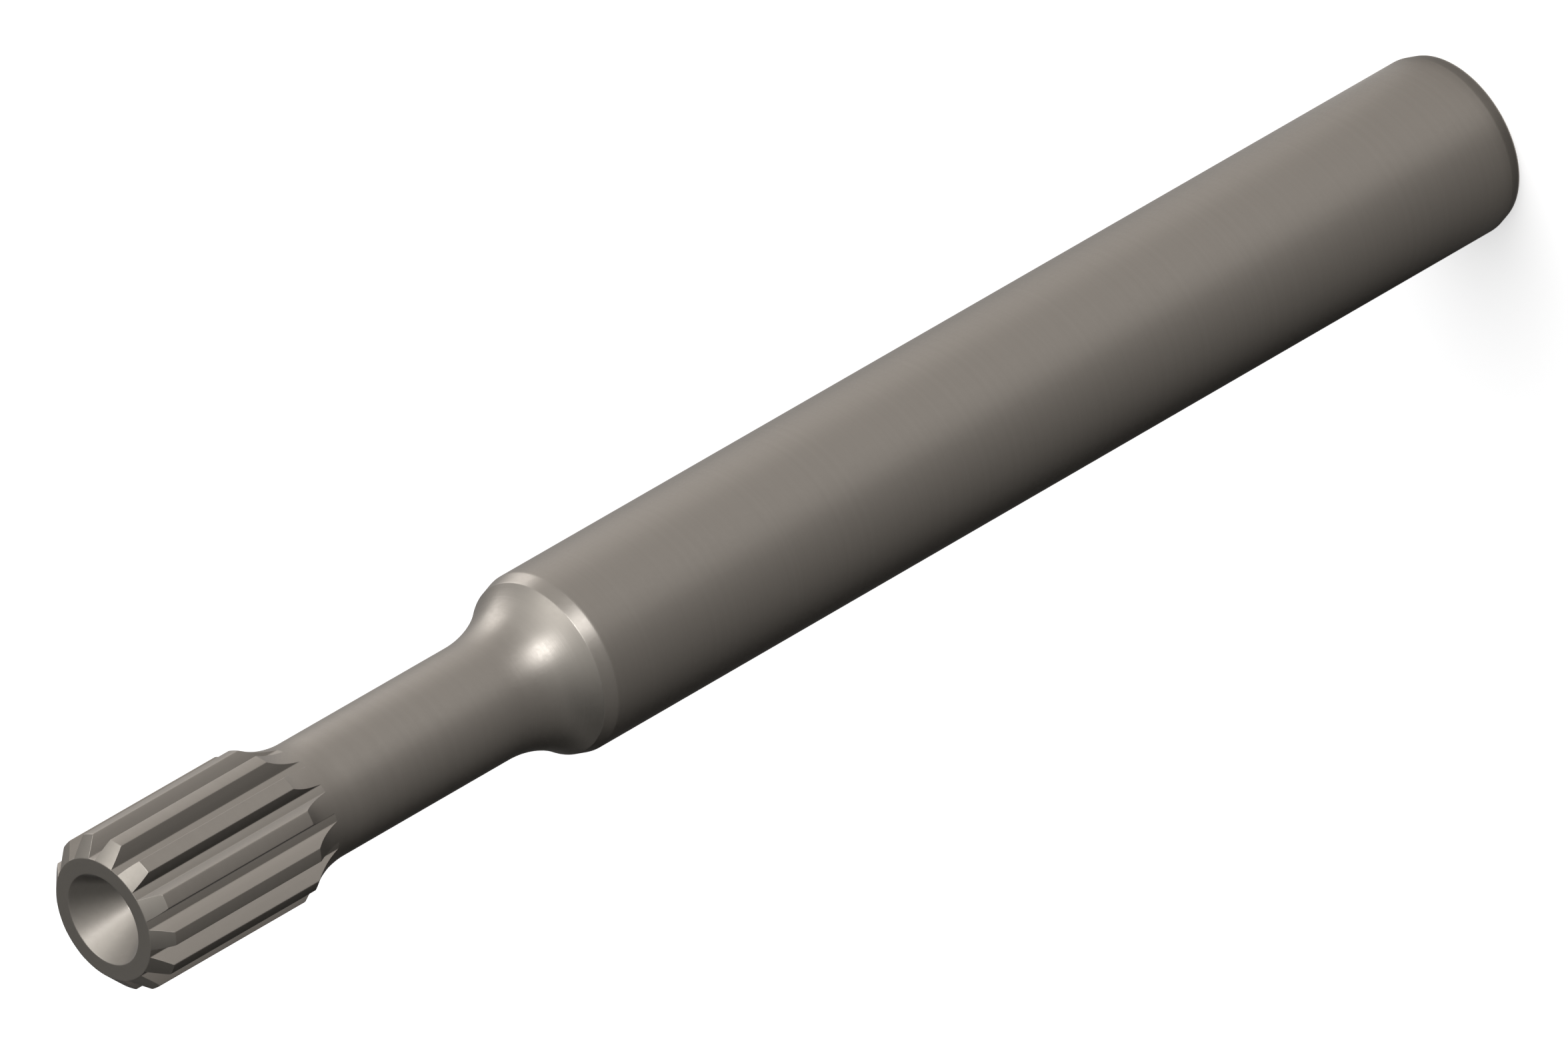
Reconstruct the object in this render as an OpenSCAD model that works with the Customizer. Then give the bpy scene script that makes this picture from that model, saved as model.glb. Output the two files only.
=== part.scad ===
// Fuel pump drive shaft, turned from one bar, splined at one end and ground on its journal.
// It stands on its plain end: the axis is Z, the plain end face is at zero and the spline is on top.
// Heights along the axis are measured up from the plain end face.

/* [Journal] */
// Length of the whole shaft, from end face to end face
overall_l = 116; // [104:0.5:160]
// Diameter of the ground journal
journal_d = 12; // [9:0.1:16]
// Length of the journal with both its lead chamfers
journal_l = 79.2; // [40:0.2:90]
// Length along the axis of the lead chamfer at the plain end
plain_lead_l = 0.88; // [0.2:0.02:3]
// Depth on the radius of the lead chamfer at the plain end
plain_lead_h = 0.25; // [0.05:0.01:2]
// Length along the axis of the lead chamfer at the shoulder
shoulder_lead_l = 0.94; // [0.2:0.02:3]
// Depth on the radius of the lead chamfer at the shoulder
shoulder_lead_h = 0.28; // [0.05:0.01:1]

/* [Neck] */
// Diameter of the neck between shoulder and spline
neck_d = 7.8; // [6:0.1:9.8]
// Radius of the fillet that rises from the neck to the shoulder
shoulder_fillet_r = 8.4; // [2:0.1:20]

/* [Spline] */
// Number of teeth
spline_teeth = 13; // [6:1:16]
// Diameter over the tooth tips
spline_od = 10.32; // [9.4:0.02:14]
// Diameter at the bottom of the gaps between the teeth
spline_root_d = 8.15; // [7:0.05:9.6]
// Length from the end face to where the tooth tips start to fall to the neck
spline_l = 13.34; // [5:0.02:25]
// Radius of the run-out that falls from the tooth tips to the neck
spline_runout_r = 7.6; // [1.5:0.1:20]
// Width of a tooth across its tip land
tooth_tip_w = 0.93; // [0.3:0.01:1.3]
// Width of a tooth at its root
tooth_root_w = 1.41; // [1:0.01:1.8]
// Radius of the bulge of each tooth flank
tooth_flank_r = 5.9; // [1:0.1:30]
// Size of the 45 degree chamfer on the tooth ends
spline_lead = 1.1; // [0.3:0.02:2]

/* [Centre hole] */
// Diameter of the mouth of the cone in the splined end face
centre_mouth_d = 6; // [3:0.1:7.6]
// Full angle of the cone
centre_angle = 60; // [60:5:120]
// Diameter of the pilot drilling below the cone
centre_pilot_d = 2.6; // [1:0.1:5]
// Length of the pilot drilling with a straight wall
centre_pilot_l = 2.8; // [0.5:0.1:10]
// Full angle of the drill point at the bottom of the pilot
drill_point_angle = 118; // [90:1:140]

/* [Hidden] */
$fn = 180;
steel = [0.57, 0.55, 0.52];

// How far a cutting shape stands proud of the surface that it cuts
cut_over = 0.5;

journal_r = journal_d / 2;
neck_r = neck_d / 2;
tip_r = spline_od / 2;
root_r = spline_root_d / 2;

// Length that an arc of radius r, tangent to the axis direction, takes to rise by h
function arc_run(r, h) = sqrt(r * r - (r - h) * (r - h));

// Length rounded down to a thousandth of a millimetre
function micron(x) = floor(x * 1000) / 1000;

// Shoulder: the fillet falls to the neck from the small edge of the lead chamfer
shoulder_r = journal_r - shoulder_lead_h;
neck_z0 = micron(journal_l + arc_run(shoulder_fillet_r, shoulder_r - neck_r));

// Spline: the run-out starts where the teeth lose their full height
neck_z1 = micron(overall_l - spline_l - arc_run(spline_runout_r, tip_r - neck_r));

// Tooth flank: an arc that bulges out, through the tooth's corners at root and tip
tooth_pitch = 360 / spline_teeth;
root_corner = [sqrt(root_r * root_r - tooth_root_w * tooth_root_w / 4), tooth_root_w / 2];
tip_corner = [sqrt(tip_r * tip_r - tooth_tip_w * tooth_tip_w / 4), tooth_tip_w / 2];
flank_chord = tip_corner - root_corner;
flank_out = [-flank_chord.y, flank_chord.x] / norm(flank_chord);
flank_back = arc_run(tooth_flank_r, tooth_flank_r - norm(flank_chord) / 2);
flank_centre = (root_corner + tip_corner) / 2 - flank_back * flank_out;

// Centre hole: depth of the cone and of the drill point
cone_l = (centre_mouth_d - centre_pilot_d) / 2 / tan(centre_angle / 2);
drill_point_l = centre_pilot_d / 2 / tan(drill_point_angle / 2);

// Half section of the journal and its shoulder, radius along X and height along Y
module journal_profile() {
    difference() {
        polygon([
            [0, 0],
            [journal_r - plain_lead_h, 0],
            [journal_r, plain_lead_l],
            [journal_r, journal_l - shoulder_lead_l],
            [shoulder_r, journal_l],
            [shoulder_r, neck_z0],
            [0, neck_z0]
        ]);
        translate([neck_r + shoulder_fillet_r, neck_z0]) circle(r = shoulder_fillet_r);
    }
}

// Half section of the spline blank, with its run-out to the neck and the chamfer on its end
module spline_profile() {
    difference() {
        polygon([
            [0, neck_z1],
            [tip_r, neck_z1],
            [tip_r, overall_l - spline_lead],
            [tip_r - spline_lead, overall_l],
            [0, overall_l]
        ]);
        translate([neck_r + spline_runout_r, neck_z1]) circle(r = spline_runout_r);
    }
}

// Blank as it is turned in one setting
module turned_blank() {
    rotate_extrude() {
        journal_profile();
        translate([0, neck_z0]) square([neck_r, neck_z1 - neck_z0]);
        spline_profile();
    }
}

// Pointed arch whose two sides are the flanks of the tooth that points along X
module tooth_arch() {
    intersection() {
        translate(flank_centre) circle(r = tooth_flank_r);
        translate([flank_centre.x, -flank_centre.y]) circle(r = tooth_flank_r);
    }
}

// What the cutter takes away between the teeth, along the spline and out over the run-out
module spline_gaps() {
    translate([0, 0, neck_z1]) linear_extrude(overall_l - neck_z1 + cut_over) difference() {
        circle(r = tip_r + cut_over);
        circle(r = root_r);
        for (i = [0 : spline_teeth - 1])
            rotate(i * tooth_pitch) tooth_arch();
    }
}

// Centre hole in the splined end face: cone, straight pilot and drill point
module centre_hole() {
    cone_z = overall_l - cone_l;
    over_r = centre_mouth_d / 2 + cut_over * tan(centre_angle / 2);
    rotate_extrude() polygon([
        [0, overall_l + cut_over],
        [over_r, overall_l + cut_over],
        [centre_pilot_d / 2, cone_z],
        [centre_pilot_d / 2, cone_z - centre_pilot_l],
        [0, cone_z - centre_pilot_l - drill_point_l]
    ]);
}

module drive_shaft() {
    color(steel) difference() {
        turned_blank();
        spline_gaps();
        centre_hole();
    }
}

drive_shaft();
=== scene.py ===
import math

import bpy
import numpy as np
from mathutils import Matrix, Vector


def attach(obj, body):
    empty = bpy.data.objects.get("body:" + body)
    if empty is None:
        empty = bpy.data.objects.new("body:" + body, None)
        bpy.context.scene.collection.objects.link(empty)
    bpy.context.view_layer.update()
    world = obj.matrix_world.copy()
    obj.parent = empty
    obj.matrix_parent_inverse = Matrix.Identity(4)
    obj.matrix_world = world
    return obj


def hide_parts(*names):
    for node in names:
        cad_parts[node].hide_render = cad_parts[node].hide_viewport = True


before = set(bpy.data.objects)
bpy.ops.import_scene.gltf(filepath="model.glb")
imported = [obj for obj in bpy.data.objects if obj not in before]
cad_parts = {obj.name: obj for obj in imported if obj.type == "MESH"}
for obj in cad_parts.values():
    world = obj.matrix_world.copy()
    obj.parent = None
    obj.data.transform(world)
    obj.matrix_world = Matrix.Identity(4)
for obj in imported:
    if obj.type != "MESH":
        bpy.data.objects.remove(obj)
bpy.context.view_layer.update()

# Drive shaft: one bar of steel, turned all over, splined at its upper end and ground on its journal.
# It stands on its plain end with the axis on Z. Sizes are in millimetres until the mesh is made,
# and every height is measured up from the plain end face.
MM = 0.001
overall_l = 116.0
journal_r = 6.0
journal_l = 79.2
plain_lead_l = 0.88
plain_lead_h = 0.25
shoulder_lead_l = 0.94
shoulder_lead_h = 0.28
shoulder_r = journal_r - shoulder_lead_h
shoulder_fillet_r = 8.4
neck_r = 3.9

spline_teeth = 13
tip_r = 5.16
root_r = 4.075
spline_l = 13.34
spline_runout_r = 7.6
spline_lead = 1.1
tooth_tip_w = 0.93
tooth_root_w = 1.41
tooth_flank_r = 5.9
face_r = tip_r - spline_lead

centre_mouth_r = 3.0
centre_half_angle = math.radians(30)
centre_pilot_r = 1.3
centre_pilot_l = 2.8
drill_half_angle = math.radians(59)

# How far a sharp edge is broken on each side of it: by the grinder, on the teeth, and in the tooth roots
edge_break = 0.05
tooth_break = 0.045
root_blend = 0.07

# Lines of the mesh on a tooth's flank, on its land, and on a corner that is broken
flank_lines = 9
land_lines = 5
corner_lines = 4


def arc_run(radius, rise):
    """Length along the axis in which an arc that starts parallel to it rises: sqrt(R^2 - (R - rise)^2)."""
    return np.sqrt(radius**2 - (radius - rise) ** 2)


def straight(start, end, count):
    """Points that divide the line from start to end evenly, with start and without end."""
    t = np.arange(count).reshape((count,) + (1,) * np.ndim(start)) / count
    return start + (end - start) * t


def broken_corner(before, corner, after, reach, count):
    """A corner taken off by a parabola: (1-t)^2 A + 2t(1-t) C + t^2 B, where A and B lie `reach` from C.

    A is on the side towards `before` and B on the side towards `after`; neither goes past 0.45 of its side.
    """
    back = before - corner
    ahead = after - corner
    back_l = np.linalg.norm(back, axis=-1, keepdims=True)
    ahead_l = np.linalg.norm(ahead, axis=-1, keepdims=True)
    a = corner + back * np.minimum(reach / back_l, 0.45)
    b = corner + ahead * np.minimum(reach / ahead_l, 0.45)
    t = np.linspace(0, 1, count).reshape((count,) + (1,) * np.ndim(corner))
    return (1 - t) ** 2 * a + 2 * t * (1 - t) * corner + t**2 * b


def tooth_half_outline():
    """Half of one tooth and of the gap beside it, seen along the axis, as points from the tooth's middle.

    The tip land and the root land are arcs about the axis. The flank is an arc of the flank radius that
    bulges outwards through the tooth's corners, and the corners between them are broken.
    """
    tip = np.array([math.sqrt(tip_r**2 - tooth_tip_w**2 / 4), tooth_tip_w / 2])
    root = np.array([math.sqrt(root_r**2 - tooth_root_w**2 / 4), tooth_root_w / 2])
    chord = tip - root
    chord_l = np.linalg.norm(chord)
    outwards = np.array([-chord[1], chord[0]]) / chord_l
    centre = (root + tip) / 2 - outwards * math.sqrt(tooth_flank_r**2 - chord_l**2 / 4)
    turn_at_tip = math.atan2(*(tip - centre)[::-1])
    turn_at_root = math.atan2(*(root - centre)[::-1])
    turn = np.linspace(turn_at_tip, turn_at_root, flank_lines)
    flank = centre + tooth_flank_r * np.stack([np.cos(turn), np.sin(turn)], -1)
    half_pitch = math.pi / spline_teeth
    on_tip = np.linspace(0, math.atan2(tip[1], tip[0]), land_lines)[:-1]
    on_root = np.linspace(math.atan2(root[1], root[0]), half_pitch, land_lines)[1:]
    tip_land = tip_r * np.stack([np.cos(on_tip), np.sin(on_tip)], -1)
    root_land = root_r * np.stack([np.cos(on_root), np.sin(on_root)], -1)
    return np.concatenate(
        [
            tip_land,
            broken_corner(tip_land[-1], tip, flank[1], tooth_break, corner_lines),
            flank[1:-1],
            broken_corner(flank[-2], root, root_land[0], root_blend, corner_lines),
            root_land,
        ]
    )


def spline_section():
    """Angle and radius of every line of the mesh round the axis, for all the teeth, from +X round."""
    half = tooth_half_outline()
    half_angle = np.arctan2(half[:, 1], half[:, 0])
    half_radius = np.hypot(half[:, 0], half[:, 1])
    angle = np.concatenate([-half_angle[:0:-1], half_angle[:-1]])
    radius = np.concatenate([half_radius[:0:-1], half_radius[:-1]])
    pitch = 2 * math.pi / spline_teeth
    turns = np.arange(spline_teeth)[:, None] * pitch
    return (turns + angle).ravel(), np.tile(radius, spline_teeth)


angle, section_r = spline_section()
lines = len(angle)


def at(radius, height):
    """The same point of the lengthwise profile on every line round the axis, as (radius, height)."""
    return np.stack(np.broadcast_arrays(radius, height, np.ones(lines))[:2], -1)


def torus_leg(radius, first_h, last_h, level, sense, count):
    """Points on the arc from the neck out to a larger diameter, between two distances over the neck.

    The arc starts parallel to the axis at height `level`: z = level + sense * sqrt(R^2 - (R - h)^2).
    The points are spread evenly along z, and the last is left out.
    """
    reach = arc_run(radius, np.stack([first_h, last_h]))
    t = np.arange(count)[:, None] / count
    run = reach[0] + (reach[1] - reach[0]) * t
    rise = radius - np.sqrt(radius**2 - run**2)
    return np.stack([neck_r + rise, level + sense * run], -1)


cone_l = (centre_mouth_r - centre_pilot_r) / math.tan(centre_half_angle)
pilot_top = overall_l - cone_l
pilot_foot = pilot_top - centre_pilot_l
drill_tip = pilot_foot - centre_pilot_r / math.tan(drill_half_angle)
neck_foot = journal_l + arc_run(shoulder_fillet_r, shoulder_r - neck_r)
neck_top = overall_l - spline_l - arc_run(spline_runout_r, tip_r - neck_r)

tip_point = at(0, drill_tip)
pilot_end = at(centre_pilot_r, pilot_foot)
cone_end = at(centre_pilot_r, pilot_top)
mouth = at(centre_mouth_r, overall_l)
face_rim = at(face_r, overall_l)
tooth_end = at(section_r, overall_l - (section_r - face_r))
land_end = at(section_r, neck_top + arc_run(spline_runout_r, section_r - neck_r))
full_h = np.full(lines, shoulder_r - neck_r)
zero_h = np.zeros(lines)
runout = torus_leg(spline_runout_r, section_r - neck_r, zero_h, neck_top, 1, 18)
fillet = torus_leg(shoulder_fillet_r, zero_h, full_h, neck_foot, -1, 20)
shoulder = at(shoulder_r, journal_l)
journal_top = at(journal_r, journal_l - shoulder_lead_l)
journal_foot = at(journal_r, plain_lead_l)
plain_rim = at(journal_r - plain_lead_h, 0)
plain_middle = at(0, 0)

# Lengthwise profile from the bottom of the centre hole out, down the outside and in to the plain face.
# A stretch gives its rows of the mesh and how its surface was made: turned or drilled, cut between the
# teeth, or ground. Those are also the numbers of the three steels on the mesh.
TURNED, CUT, GROUND = 0, 1, 2
plain_face_rows = 8
stretches = [
    (straight(tip_point, pilot_end, 4)[1:], TURNED),
    (broken_corner(tip_point, pilot_end, cone_end, edge_break, 4), TURNED),
    (broken_corner(pilot_end, cone_end, mouth, edge_break, 4), TURNED),
    (straight(cone_end, mouth, 6)[1:], TURNED),
    (broken_corner(cone_end, mouth, face_rim, edge_break, 5), TURNED),
    (straight(mouth, face_rim, 5)[1:], TURNED),
    (broken_corner(mouth, face_rim, tooth_end, edge_break, 5), TURNED),
    (straight(face_rim, tooth_end, 5)[1:], TURNED),
    (broken_corner(face_rim, tooth_end, land_end, tooth_break, 5), CUT),
    (straight(tooth_end, land_end, 12)[1:], CUT),
    (broken_corner(tooth_end, land_end, runout[1], edge_break, 4), TURNED),
    (runout[1:], TURNED),
    (straight(at(neck_r, neck_top), at(neck_r, neck_foot), 12), TURNED),
    (fillet, TURNED),
    (broken_corner(fillet[-1], shoulder, journal_top, edge_break, 5), GROUND),
    (straight(shoulder, journal_top, 4)[1:], GROUND),
    (broken_corner(shoulder, journal_top, journal_foot, 2 * edge_break, 5), GROUND),
    (straight(journal_top, journal_foot, 24)[1:], GROUND),
    (broken_corner(journal_top, journal_foot, plain_rim, 2 * edge_break, 5), GROUND),
    (straight(journal_foot, plain_rim, 4)[1:], GROUND),
    (broken_corner(journal_foot, plain_rim, plain_middle, edge_break, 5), TURNED),
    (straight(plain_rim, plain_middle, plain_face_rows)[1:], TURNED),
]
profile = np.concatenate([points for points, _ in stretches])
finish_of_row = np.concatenate([np.full(len(points), how) for points, how in stretches])
rows = len(profile)


def lay_along(profile):
    """Distance along the lengthwise profile, in metres, at every point of the mesh.

    It is the running sum of the steps between rows. Above the spline it is measured from the face rim and
    below it from the neck, so that it is the same all round, and between the two it changes evenly.
    """
    step = np.linalg.norm(np.diff(profile, axis=0), axis=-1)
    run = np.concatenate([np.zeros((1, lines)), np.cumsum(step, axis=0)])
    # The rows at which the chamfer of the tooth ends, the teeth, their run-out and the neck begin
    first_row = np.cumsum([0] + [len(points) for points, _ in stretches])
    face_row, land_row, runout_row, neck_row = first_row[[7, 9, 11, 12]]
    tip_line = np.argmax(section_r)
    above = run - run[face_row]
    below = run - run[neck_row] + (run[neck_row] - run[face_row])[tip_line]
    share = np.clip((run - run[land_row]) / (run[runout_row] - run[land_row]), 0, 1)
    return ((1 - share) * above + share * below) * MM


def grid_faces(rows, lines):
    """Corner numbers of the quads between rows, and of the fans that close the two ends, facing out."""
    number = np.arange(rows * lines).reshape(rows, lines)
    beside = np.roll(number, -1, axis=1)
    quads = np.stack([number[:-1], number[1:], beside[1:], beside[:-1]], -1).reshape(-1, 4)
    first_pole = np.full(lines, rows * lines)
    last_pole = first_pole + 1
    top_fan = np.stack([first_pole, number[0], beside[0]], -1)
    foot_fan = np.stack([last_pole, beside[-1], number[-1]], -1)
    return quads, np.concatenate([top_fan, foot_fan])


def smooth_normals(points, quads, fans):
    """Normal at each point: the sum of the normals of its faces, each weighted by the area of its face."""
    normals = np.zeros_like(points)
    a, b, c, d = points[quads].swapaxes(0, 1)
    quad_normal = np.cross(c - a, d - b)
    np.add.at(normals, quads, quad_normal[:, None])
    a, b, c = points[fans].swapaxes(0, 1)
    fan_normal = np.cross(b - a, c - a)
    np.add.at(normals, fans, fan_normal[:, None])
    return normals / np.linalg.norm(normals, axis=1, keepdims=True)


radius, height = profile[..., 0], profile[..., 1]
round_points = np.stack([radius * np.cos(angle), radius * np.sin(angle), height], -1)
poles = np.array([[0, 0, drill_tip], [0, 0, 0]])
points = np.concatenate([round_points.reshape(-1, 3), poles]) * MM
quads, fans = grid_faces(rows, lines)
mesh = bpy.data.meshes.new("drive_shaft_finish")
mesh.from_pydata(points.tolist(), [], quads.tolist() + fans.tolist())
mesh.polygons.foreach_set("use_smooth", np.ones(len(mesh.polygons), bool))
mesh.normals_split_custom_set_from_vertices(smooth_normals(points, quads, fans).tolist())

lay = lay_along(profile)
pole_lay = [
    lay[0].mean() - centre_pilot_r * MM,
    lay[-1].mean() + shoulder_r / plain_face_rows * MM,
]
lay_values = np.concatenate([lay.ravel(), pole_lay])
mesh.attributes.new("lay", "FLOAT", "POINT").data.foreach_set("value", lay_values)

shaft = bpy.data.objects.new("drive_shaft_finish", mesh)
bpy.context.scene.collection.objects.link(shaft)
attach(shaft, "root")
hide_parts("drive_shaft")

# The shaft is left out of its own reflections, so that each flank and the hole reflect the studio, as
# in the photograph, and not the next tooth or the wall across.
shaft.visible_glossy = False

# Steel: the shaft is bare, as it comes off the machines. The lathe and the drill leave fine rings, the
# spline cutter leaves marks along the axis, and the grinder leaves the finest rings on the journal.
band_scale = 0.23
grain_scale = 5000.0
grain_low = 0.3
grain_high = 0.7
grain_rough = 0.03


def tool_marks_group():
    """Height, tone and grain of tool marks, from a place that is stretched along the marks.

    Height is noise on the stretched place. Tone is noise on the same place at about a quarter of the
    scale, which groups the marks into bands. Grain is fine noise on the unstretched place.
    """
    group = bpy.data.node_groups.new("tool_marks", "ShaderNodeTree")
    for given_name in ("Marks", "Place"):
        group.interface.new_socket(given_name, in_out="INPUT", socket_type="NodeSocketVector")
    for result_name in ("Height", "Tone", "Grain"):
        group.interface.new_socket(result_name, in_out="OUTPUT", socket_type="NodeSocketFloat")
    nodes, link = group.nodes, group.links.new
    given = nodes.new("NodeGroupInput")
    result = nodes.new("NodeGroupOutput")
    marks = nodes.new("ShaderNodeTexNoise")
    marks.inputs["Scale"].default_value = 1.0
    marks.inputs["Detail"].default_value = 3.0
    bands = nodes.new("ShaderNodeTexNoise")
    bands.inputs["Scale"].default_value = band_scale
    bands.inputs["Detail"].default_value = 2.0
    grain = nodes.new("ShaderNodeTexNoise")
    grain.inputs["Scale"].default_value = grain_scale
    grain.inputs["Detail"].default_value = 2.0
    link(given.outputs["Marks"], marks.inputs["Vector"])
    link(given.outputs["Marks"], bands.inputs["Vector"])
    link(given.outputs["Place"], grain.inputs["Vector"])
    link(marks.outputs["Fac"], result.inputs["Height"])
    link(bands.outputs["Fac"], result.inputs["Tone"])
    link(grain.outputs["Fac"], result.inputs["Grain"])
    return group


tool_marks = tool_marks_group()

# Colour of the steel where the marks lie close and where they lie open
STEEL_DARK = Vector((0.285, 0.263, 0.234))
STEEL_LIGHT = Vector((0.319, 0.294, 0.262))

# How much of a plain metal's brightening towards its outline is left on steel with tool marks
STEEL_EDGE = (0.75, 0.75, 0.75, 1.0)


def steel(name, spacing, drawn_out, along_axis, depth, rough, painted_light):
    """Bare steel with the marks of one tool: `spacing` apart, `drawn_out` times as long, `depth` deep.

    Lengths are in metres. Rings follow the attribute "lay", and marks along the axis follow Object
    coordinates drawn out in Z. Its last argument scales the colour: the steel between the teeth is painted
    a little lighter, as painted light in the gaps.
    """
    material = bpy.data.materials.new(name)
    material.use_nodes = True
    nodes, link = material.node_tree.nodes, material.node_tree.links.new
    shader = nodes["Principled BSDF"]
    place = nodes.new("ShaderNodeTexCoord")
    fine = 1 / spacing
    slow = fine / drawn_out
    stretch = nodes.new("ShaderNodeMapping")
    if along_axis:
        stretch.inputs["Scale"].default_value = (fine, fine, slow)
        link(place.outputs["Object"], stretch.inputs["Vector"])
    else:
        parts = nodes.new("ShaderNodeSeparateXYZ")
        rings = nodes.new("ShaderNodeCombineXYZ")
        lay_node = nodes.new("ShaderNodeAttribute")
        lay_node.attribute_name = "lay"
        link(place.outputs["Object"], parts.inputs["Vector"])
        link(parts.outputs["X"], rings.inputs["X"])
        link(parts.outputs["Y"], rings.inputs["Y"])
        link(lay_node.outputs["Fac"], rings.inputs["Z"])
        link(rings.outputs["Vector"], stretch.inputs["Vector"])
        stretch.inputs["Scale"].default_value = (slow, slow, fine)
    marks = nodes.new("ShaderNodeGroup")
    marks.node_tree = tool_marks
    link(stretch.outputs["Vector"], marks.inputs["Marks"])
    link(place.outputs["Object"], marks.inputs["Place"])
    tint = nodes.new("ShaderNodeMix")
    tint.data_type = "RGBA"
    tint.inputs["A"].default_value = (*STEEL_DARK * painted_light, 1)
    tint.inputs["B"].default_value = (*STEEL_LIGHT * painted_light, 1)
    link(marks.outputs["Tone"], tint.inputs["Factor"])
    link(tint.outputs["Result"], shader.inputs["Base Color"])
    gloss = nodes.new("ShaderNodeMapRange")
    gloss.inputs["From Min"].default_value = grain_low
    gloss.inputs["From Max"].default_value = grain_high
    gloss.inputs["To Min"].default_value = rough - grain_rough
    gloss.inputs["To Max"].default_value = rough + grain_rough
    link(marks.outputs["Grain"], gloss.inputs["Value"])
    link(gloss.outputs["Result"], shader.inputs["Roughness"])
    bump = nodes.new("ShaderNodeBump")
    bump.inputs["Strength"].default_value = 1.0
    bump.inputs["Distance"].default_value = depth
    link(marks.outputs["Height"], bump.inputs["Height"])
    link(bump.outputs["Normal"], shader.inputs["Normal"])
    shader.inputs["Metallic"].default_value = 1.0
    shader.inputs["Specular Tint"].default_value = STEEL_EDGE
    return material


turned_steel = steel(
    "turned_steel",
    spacing=0.00016,
    drawn_out=260,
    along_axis=False,
    depth=0.0000035,
    rough=0.38,
    painted_light=1.0,
)
# Cut steel is painted a little lighter: painted light in the gaps between the teeth
cut_steel = steel(
    "cut_steel",
    spacing=0.00014,
    drawn_out=30,
    along_axis=True,
    depth=0.0000030,
    rough=0.38,
    painted_light=1.02,
)
ground_steel = steel(
    "ground_steel",
    spacing=0.00009,
    drawn_out=500,
    along_axis=False,
    depth=0.0000012,
    rough=0.36,
    painted_light=1.0,
)
for made in (turned_steel, cut_steel, ground_steel):
    mesh.materials.append(made)

# Along the teeth, the lands on their tips are still as turned, and only what lies between them is cut
cut_line = section_r < tip_r - tooth_break / 2
cut_between = cut_line & np.roll(cut_line, -1)
finish_of_quad = np.repeat(finish_of_row[:-1, None], lines, axis=1)
finish_of_quad = np.where((finish_of_quad == CUT) & ~cut_between, TURNED, finish_of_quad)
finish_of_face = np.concatenate([finish_of_quad.ravel(), np.full(len(fans), TURNED)])
mesh.polygons.foreach_set("material_index", finish_of_face.astype(np.int32))
mesh.update()


# Floor: a plain white sheet that the shaft stands on. Part of its white is its own, for what the
# camera and the metal see of it, and the rest is the lamps' light on it, which keeps the shadow.
floor_r = 6.0
sheet_colour = 0.8
sheet_own_white = 0.5


def flat_ring(name, inner_r, outer_r, height, sides=96):
    """A flat ring about the axis at one height, facing up: a disc where the inner radius is 0."""
    turn = np.linspace(0, 2 * math.pi, sides + 1)[:-1]
    ring = np.stack([np.cos(turn), np.sin(turn), np.zeros(sides)], -1)
    corners = np.concatenate([ring * inner_r, ring * outer_r]) + [0, 0, height]
    near = np.arange(sides)
    beside = np.roll(near, -1)
    faces = np.stack([near, near + sides, beside + sides, beside], -1)
    sheet = bpy.data.meshes.new(name)
    sheet.from_pydata(corners.tolist(), [], faces.tolist())
    made = bpy.data.objects.new(name, sheet)
    bpy.context.scene.collection.objects.link(made)
    return made


def matt_sheet(name):
    """A matt white material, and its shader, nodes and links, to be finished where it is used."""
    material = bpy.data.materials.new(name)
    material.use_nodes = True
    shader = material.node_tree.nodes["Principled BSDF"]
    shader.inputs["Base Color"].default_value = (sheet_colour,) * 3 + (1,)
    shader.inputs["Roughness"].default_value = 1.0
    shader.inputs["Specular IOR Level"].default_value = 0.0
    shader.inputs["Emission Color"].default_value = (1, 1, 1, 1)
    shader.inputs["Emission Strength"].default_value = sheet_own_white
    return material, shader, material.node_tree.nodes, material.node_tree.links.new


floor = flat_ring("floor", 0, floor_r, 0)
white, shader, nodes, link = matt_sheet("floor_white")
rays = nodes.new("ShaderNodeLightPath")
camera_or_metal = nodes.new("ShaderNodeMath")
camera_or_metal.operation = "MAXIMUM"
link(rays.outputs["Is Camera Ray"], camera_or_metal.inputs[0])
link(rays.outputs["Is Glossy Ray"], camera_or_metal.inputs[1])
or_glass = nodes.new("ShaderNodeMath")
or_glass.operation = "MAXIMUM"
link(camera_or_metal.outputs["Value"], or_glass.inputs[0])
link(rays.outputs["Is Transmission Ray"], or_glass.inputs[1])
own_white = nodes.new("ShaderNodeMath")
own_white.operation = "MULTIPLY"
own_white.inputs[1].default_value = sheet_own_white
link(or_glass.outputs["Value"], own_white.inputs[0])
link(own_white.outputs["Value"], shader.inputs["Emission Strength"])
floor.data.materials.append(white)

# Directions in the studio are measured from the light side, halfway between +X and +Y, towards the
# side of the camera. So the camera stands at 90 degrees and the dark side of the studio is at 225.
light_side = math.radians(45)


def studio_direction(turn, elevation):
    """Unit vector at `turn` degrees from the light side and `elevation` degrees over the floor."""
    a = light_side - math.radians(turn)
    e = math.radians(elevation)
    return Vector((math.cos(a) * math.cos(e), math.sin(a) * math.cos(e), math.sin(e)))
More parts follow.
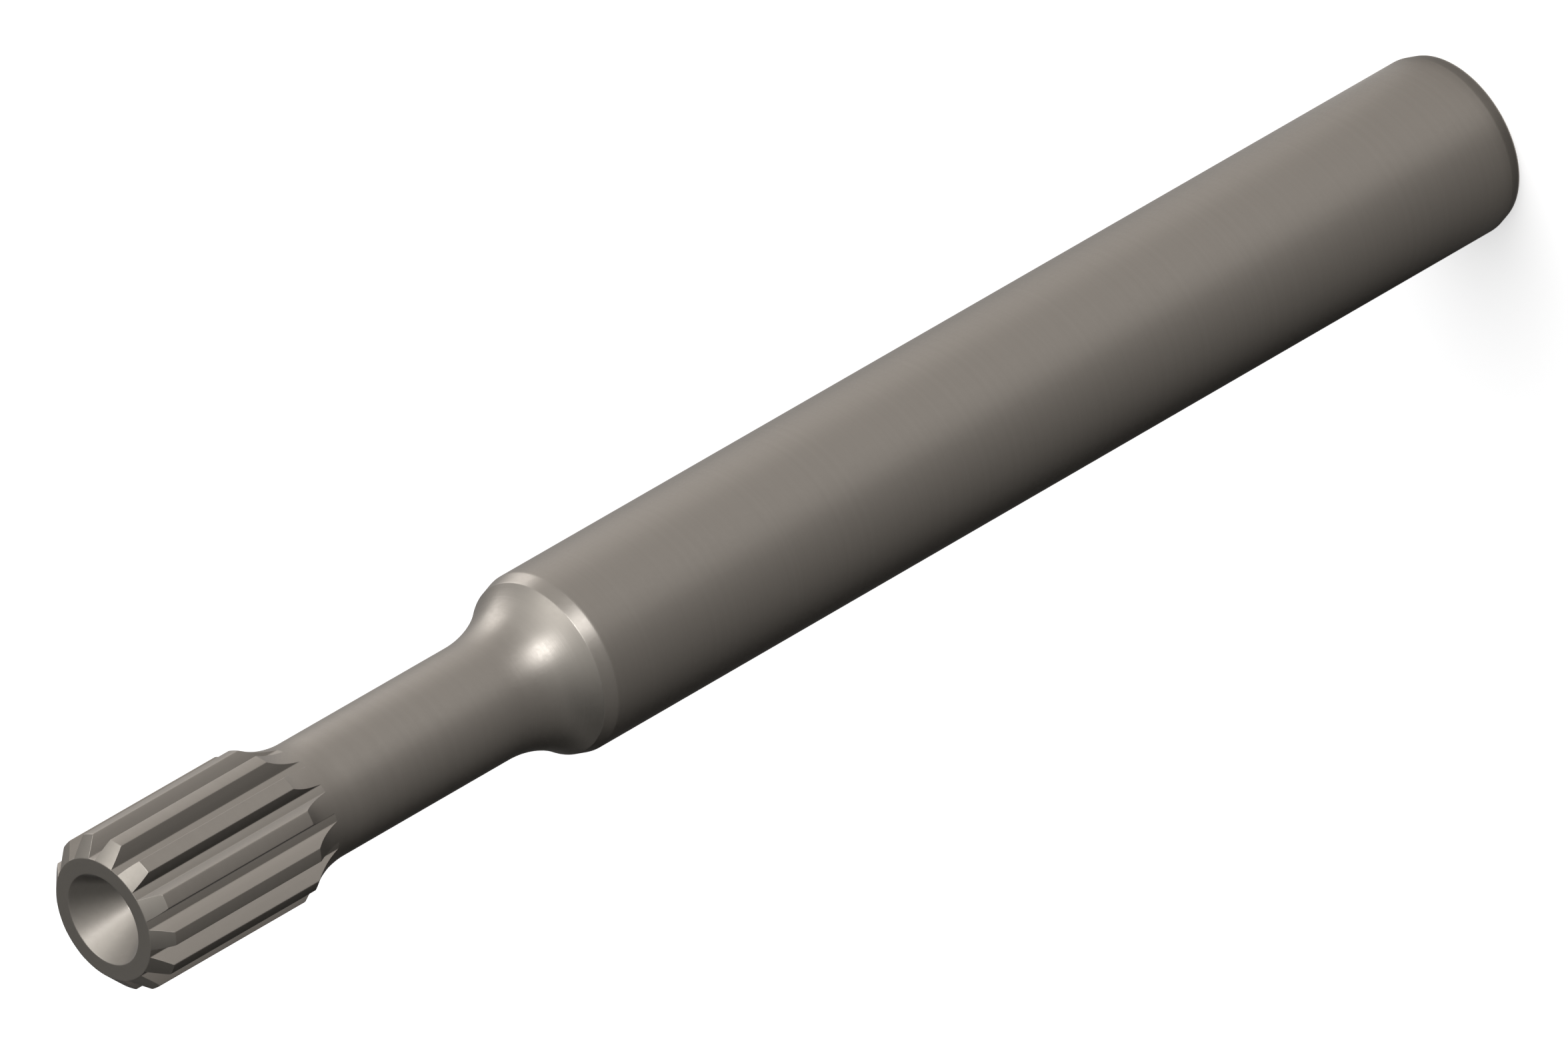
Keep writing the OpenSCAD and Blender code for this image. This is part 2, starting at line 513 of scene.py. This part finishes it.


# Graded card: a sheet just over the floor with painted shade round the shaft, from white on the light side
# to black on the dark side. The metal reflects it, so the metal's dark edge is a painted reflection. The
# card is painted darker close to the shaft's foot, as painted shade for a floor in the shade of what stands
# on it. Only the metal sees it, and it casts no shadow.
card_inner_r = 5.8 * MM
card_lift = 0.05 * MM
card_own_white = 0.3
card_green = 0.975
card_blue = 0.965
foot_shade = 0.6
foot_shade_r = 6.3 * MM
foot_shade_ends_r = 8 * MM
card = flat_ring("painted_shade_card", card_inner_r, floor_r, card_lift)
painted_shade_material, shader, nodes, link = matt_sheet("card_painted_shade")
place = nodes.new("ShaderNodeTexCoord")
about_axis = nodes.new("ShaderNodeTexGradient")
about_axis.gradient_type = "RADIAL"
shade = nodes.new("ShaderNodeValToRGB")
# Painted shade of the card at each turn from the light side, which the metal shows as a painted reflection
SHADE_BY_TURN = (
    (220, 0.02),
    (165, 0.25),
    (105, 0.46),
    (85, 0.68),
    (20, 0.78),
    (0, 0.97),
    (-30, 0.97),
    (-75, 0.42),
    (-100, 0.16),
    (-120, 0.03),
)
stops = shade.color_ramp.elements
while len(stops) < len(SHADE_BY_TURN):
    stops.new(0.5)
for stop, (turn, tone) in zip(stops, SHADE_BY_TURN):
    stop.position = (math.degrees(light_side) - turn) / 360 + 0.5
    stop.color = (tone, card_green * tone, card_blue * tone, 1)
link(place.outputs["Object"], about_axis.inputs["Vector"])
link(about_axis.outputs["Fac"], shade.inputs["Fac"])
from_axis = nodes.new("ShaderNodeVectorMath")
from_axis.operation = "LENGTH"
link(place.outputs["Object"], from_axis.inputs[0])
at_foot = nodes.new("ShaderNodeMapRange")
at_foot.inputs["From Min"].default_value = foot_shade_r
at_foot.inputs["From Max"].default_value = foot_shade_ends_r
at_foot.inputs["To Min"].default_value = foot_shade
link(from_axis.outputs["Value"], at_foot.inputs["Value"])
tone = nodes.new("ShaderNodeVectorMath")
tone.operation = "SCALE"
link(shade.outputs["Color"], tone.inputs[0])
link(at_foot.outputs["Result"], tone.inputs["Scale"])
painted_shade_paper = nodes.new("ShaderNodeVectorMath")
painted_shade_paper.operation = "SCALE"
painted_shade_paper.inputs["Scale"].default_value = sheet_colour
link(tone.outputs["Vector"], painted_shade_paper.inputs[0])
link(painted_shade_paper.outputs["Vector"], shader.inputs["Base Color"])
link(tone.outputs["Vector"], shader.inputs["Emission Color"])
shader.inputs["Emission Strength"].default_value = card_own_white
card.data.materials.append(painted_shade_material)
card.visible_camera = False
card.visible_shadow = False
card.visible_diffuse = False

# Studio: a grey room that brightens towards its light side and is white at the horizon, where the
# floor ends. Its light is dark + light * ((1 + cos of the angle from the brightest point) / 2)^2.
room_dark = 0.09
room_light = 1.23
brightest = studio_direction(40, 20)
white_below = math.sin(math.radians(0.6))
grey_above = math.sin(math.radians(1.6))
world = bpy.data.worlds.new("studio")
bpy.context.scene.world = world
world.use_nodes = True
nodes, link = world.node_tree.nodes, world.node_tree.links.new
room = nodes["Background"]
room.inputs["Color"].default_value = (1, 1, 1, 1)
direction = nodes.new("ShaderNodeTexCoord")
closeness = nodes.new("ShaderNodeVectorMath")
closeness.operation = "DOT_PRODUCT"
closeness.inputs[1].default_value = brightest
half_way = nodes.new("ShaderNodeMath")
half_way.operation = "MULTIPLY_ADD"
half_way.inputs[1].default_value = 0.5
half_way.inputs[2].default_value = 0.5
squared = nodes.new("ShaderNodeMath")
squared.operation = "POWER"
squared.inputs[1].default_value = 2.0
grading = nodes.new("ShaderNodeMath")
grading.operation = "MULTIPLY_ADD"
grading.inputs[1].default_value = room_light
grading.inputs[2].default_value = room_dark
link(direction.outputs["Generated"], closeness.inputs[0])
link(closeness.outputs["Value"], half_way.inputs[0])
link(half_way.outputs["Value"], squared.inputs[0])
link(squared.outputs["Value"], grading.inputs[0])
upwards = nodes.new("ShaderNodeSeparateXYZ")
horizon = nodes.new("ShaderNodeMapRange")
horizon.inputs["From Min"].default_value = white_below
horizon.inputs["From Max"].default_value = grey_above
horizon.inputs["To Min"].default_value = 1.0
link(direction.outputs["Generated"], upwards.inputs["Vector"])
link(upwards.outputs["Z"], horizon.inputs["Value"])
link(grading.outputs["Value"], horizon.inputs["To Max"])
link(horizon.outputs["Result"], room.inputs["Strength"])


def hang(lamp, turn, elevation, place):
    """A lamp's object at a place, its light falling from `turn` and `elevation`."""
    held = bpy.data.objects.new(lamp.name, lamp)
    held.rotation_mode = "QUATERNION"
    held.rotation_quaternion = studio_direction(turn, elevation).to_track_quat("Z", "Y")
    held.location = place
    bpy.context.scene.collection.objects.link(held)
    return held


def soft_lamp(name, turn, elevation, width, strength):
    """A large distant soft box: `width` degrees across, and its light on a face square to it."""
    lamp = bpy.data.lights.new(name, "SUN")
    lamp.angle = math.radians(width)
    lamp.energy = strength
    return hang(lamp, turn, elevation, (0, 0, 0))


# Key lamp: it stands low on the camera's side and draws the main streak down the metal. It casts no
# shadow, so that its streak also lies inside the centre hole, as in the photograph.
key_lamp = soft_lamp("key_lamp", turn=70, elevation=6, width=24, strength=1.04)
key_lamp.data.color = (0.96, 0.97, 1.0)
key_lamp.data.use_shadow = False

# Top lamp: it stands high on the light side. The shaft's shadow on the floor is from it and the room.
soft_lamp("top_lamp", turn=30, elevation=48, width=50, strength=0.65)

# Low lamp: a small soft box that stands upright near the shaft, past the light side and about a third
# of the way up. It gives the shoulder its second highlight. Its sizes are in metres.
low_box_turn = -23
low_box_away = 0.2
low_box_height = 0.043
low = bpy.data.lights.new("low_lamp", "AREA")
low.shape = "RECTANGLE"
low.size = 0.12
low.size_y = 0.05
low.energy = 0.058
low.color = (0.98, 0.98, 1.0)
low_box_foot = studio_direction(low_box_turn, 0) * low_box_away
hang(low, low_box_turn, 0, low_box_foot + Vector((0, 0, low_box_height)))

# Camera: at the photograph's angle, 35.26 degrees above the floor, rolled so that the splined end
# points down to the left. The long lens draws the shaft's parallel lines as nearly parallel.
camera = bpy.data.cameras.new("camera")
camera.sensor_width = 36.0
camera.lens = 1120.0
frame_w = 95.33 * MM
distance = frame_w * camera.lens / camera.sensor_width
camera.clip_start = distance / 2
camera.clip_end = distance * 2
towards_camera = Vector((1, -1, 1)).normalized()
image_right = Vector((0, -1, -1)).normalized()
image_up = towards_camera.cross(image_right)
# The aim, in millimetres: a point close to the middle of the axis, moved left and down in the picture
# by what puts both ends of the shaft where the photograph has them
off_axis = 0.16
half_way_up = 57.37
to_left = 0.43
to_foot = 0.25
middle = Vector((off_axis, off_axis, half_way_up))
aim = middle * MM - image_right * to_left * MM - image_up * to_foot * MM
turned = Matrix((image_right, image_up, towards_camera)).transposed()
seat = bpy.data.objects.new("camera", camera)
seat.matrix_world = Matrix.Translation(aim + towards_camera * distance) @ turned.to_4x4()
bpy.context.scene.collection.objects.link(seat)
bpy.context.scene.camera = seat

bpy.context.scene.view_settings.view_transform = "Standard"
